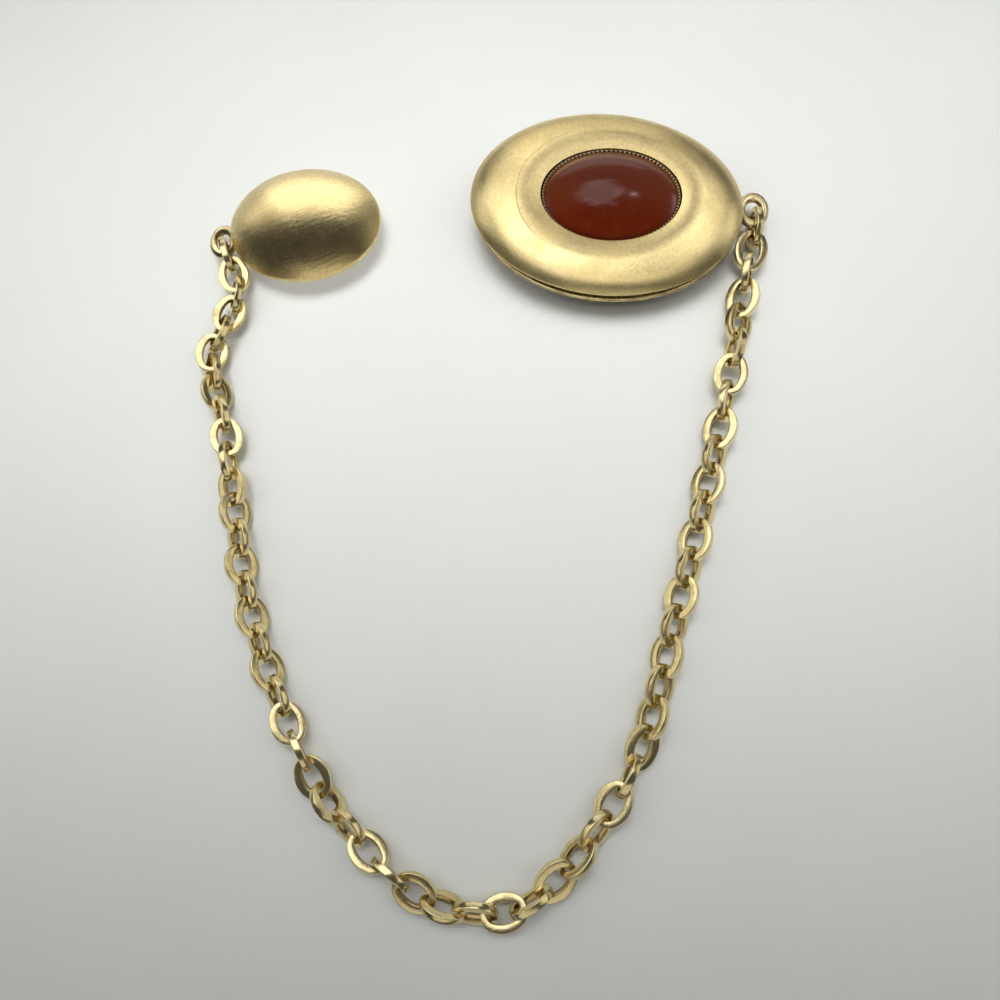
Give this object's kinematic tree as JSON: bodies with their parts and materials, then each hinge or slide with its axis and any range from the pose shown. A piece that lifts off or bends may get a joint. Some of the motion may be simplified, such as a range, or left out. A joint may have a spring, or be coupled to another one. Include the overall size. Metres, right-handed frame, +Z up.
{
  "type": "cabochon brooch with chain and companion brooch",
  "caption": "Large oval domed brooch set with an oval cabochon, joined by a loose cable chain to a small plain domed oval brooch.",
  "frame": {"origin": "on the table under the middle of the whole piece", "axes": "+Z up from the table, +Y from the bow of the chain towards the two brooches, +X from the small brooch towards the large one"},
  "size_m": [0.1059, 0.1405, 0.0129],
  "materials": {
    "satin_gold": "satin",
    "polished_gold": "polished",
    "dark_gold": "satin, slightly darkened",
    "red_brown_stone": "polished and opaque"
  },
  "bodies": {
    "root": {"large_shell": "satin_gold", "stone_cup": "dark_gold", "stone": "red_brown_stone", "large_back": "dark_gold", "large_pin": "dark_gold", "small_shell": "satin_gold", "small_back": "dark_gold", "small_pin": "dark_gold", "chain_left": "polished_gold", "chain_right": "polished_gold"}
  },
  "joints": []
}
